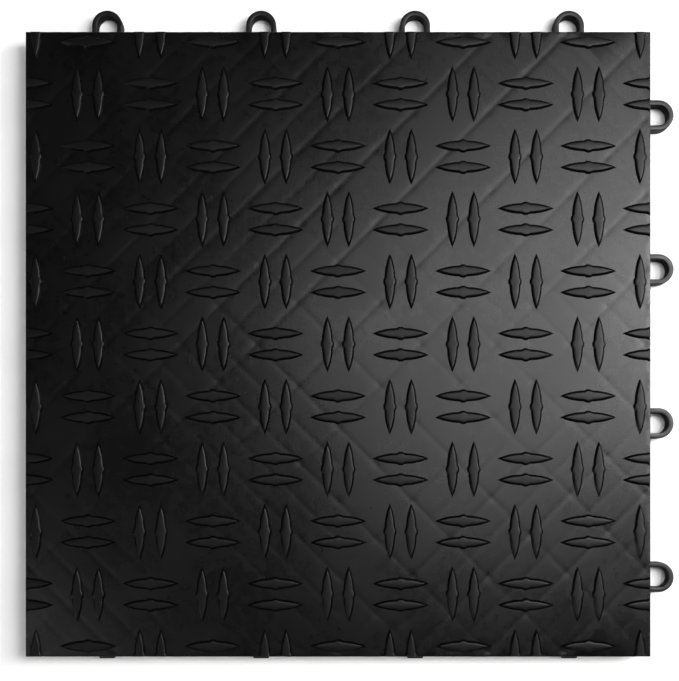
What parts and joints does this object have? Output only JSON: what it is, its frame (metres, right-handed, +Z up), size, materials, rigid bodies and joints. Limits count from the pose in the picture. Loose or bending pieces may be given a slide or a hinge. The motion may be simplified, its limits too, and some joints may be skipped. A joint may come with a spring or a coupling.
{
  "type": "interlocking floor tile",
  "caption": "Square interlocking plastic floor tile with a diamond tread, connector loops on two sides, pegs and snap tongues on the other two, and ribs and support posts below.",
  "frame": {"origin": "on the floor plane, under the centre of the square deck, at the underside of the middle support post", "axes": "+Z up; +Y and +X are outward normals of the two sides with connector loops"},
  "size_m": [0.3204, 0.3204, 0.0138],
  "materials": {
    "tread_surface": "satin, fine moulded grain",
    "connector": "satin",
    "underside": "satin"
  },
  "bodies": {
    "tile": {"diamond_ribs_back_left": "underside", "diamond_ribs_back_right": "underside", "diamond_ribs_front_left": "underside", "diamond_ribs_front_right": "underside", "loop_back_1": "connector", "loop_back_2": "connector", "loop_back_3": "connector", "loop_back_4": "connector", "loop_right_1": "connector", "loop_right_2": "connector", "loop_right_3": "connector", "loop_right_4": "connector", "main_ribs_falling": "underside", "main_ribs_rising": "underside", "peg_front_1": "connector", "peg_front_2": "connector", "peg_front_3": "connector", "peg_front_4": "connector", "peg_left_1": "connector", "peg_left_2": "connector", "peg_left_3": "connector", "peg_left_4": "connector", "skirt_back": "underside", "skirt_front": "underside", "skirt_left": "underside", "skirt_right": "underside", "support_feet": "underside", "tread_deck": "tread_surface", "tread_lugs_crosswise": "tread_surface", "tread_lugs_lengthwise": "tread_surface"},
    "snap_tongue_front_1": {"snap_tongue_front_1": "connector"},
    "snap_tongue_front_2": {"snap_tongue_front_2": "connector"},
    "snap_tongue_front_3": {"snap_tongue_front_3": "connector"},
    "snap_tongue_front_4": {"snap_tongue_front_4": "connector"},
    "snap_tongue_left_1": {"snap_tongue_left_1": "connector"},
    "snap_tongue_left_2": {"snap_tongue_left_2": "connector"},
    "snap_tongue_left_3": {"snap_tongue_left_3": "connector"},
    "snap_tongue_left_4": {"snap_tongue_left_4": "connector"}
  },
  "joints": [
    {"name": "snap_tongue_front_1_flex", "type": "hinge", "parent": "tile", "child": "snap_tongue_front_1", "pos_m": [-0.1143, -0.15155, 0.0098], "axis": [1, 0, 0], "range_deg": [0, 25], "stiffness_Nm_per_rad": 0.6},
    {"name": "snap_tongue_front_2_flex", "type": "hinge", "parent": "tile", "child": "snap_tongue_front_2", "pos_m": [-0.0381, -0.15155, 0.0098], "axis": [1, 0, 0], "range_deg": [0, 25], "stiffness_Nm_per_rad": 0.6},
    {"name": "snap_tongue_front_3_flex", "type": "hinge", "parent": "tile", "child": "snap_tongue_front_3", "pos_m": [0.0381, -0.15155, 0.0098], "axis": [1, 0, 0], "range_deg": [0, 25], "stiffness_Nm_per_rad": 0.6},
    {"name": "snap_tongue_front_4_flex", "type": "hinge", "parent": "tile", "child": "snap_tongue_front_4", "pos_m": [0.1143, -0.15155, 0.0098], "axis": [1, 0, 0], "range_deg": [0, 25], "stiffness_Nm_per_rad": 0.6},
    {"name": "snap_tongue_left_1_flex", "type": "hinge", "parent": "tile", "child": "snap_tongue_left_1", "pos_m": [-0.15155, -0.1143, 0.0098], "axis": [0, -1, 0], "range_deg": [0, 25], "stiffness_Nm_per_rad": 0.6},
    {"name": "snap_tongue_left_2_flex", "type": "hinge", "parent": "tile", "child": "snap_tongue_left_2", "pos_m": [-0.15155, -0.0381, 0.0098], "axis": [0, -1, 0], "range_deg": [0, 25], "stiffness_Nm_per_rad": 0.6},
    {"name": "snap_tongue_left_3_flex", "type": "hinge", "parent": "tile", "child": "snap_tongue_left_3", "pos_m": [-0.15155, 0.0381, 0.0098], "axis": [0, -1, 0], "range_deg": [0, 25], "stiffness_Nm_per_rad": 0.6},
    {"name": "snap_tongue_left_4_flex", "type": "hinge", "parent": "tile", "child": "snap_tongue_left_4", "pos_m": [-0.15155, 0.1143, 0.0098], "axis": [0, -1, 0], "range_deg": [0, 25], "stiffness_Nm_per_rad": 0.6}
  ]
}
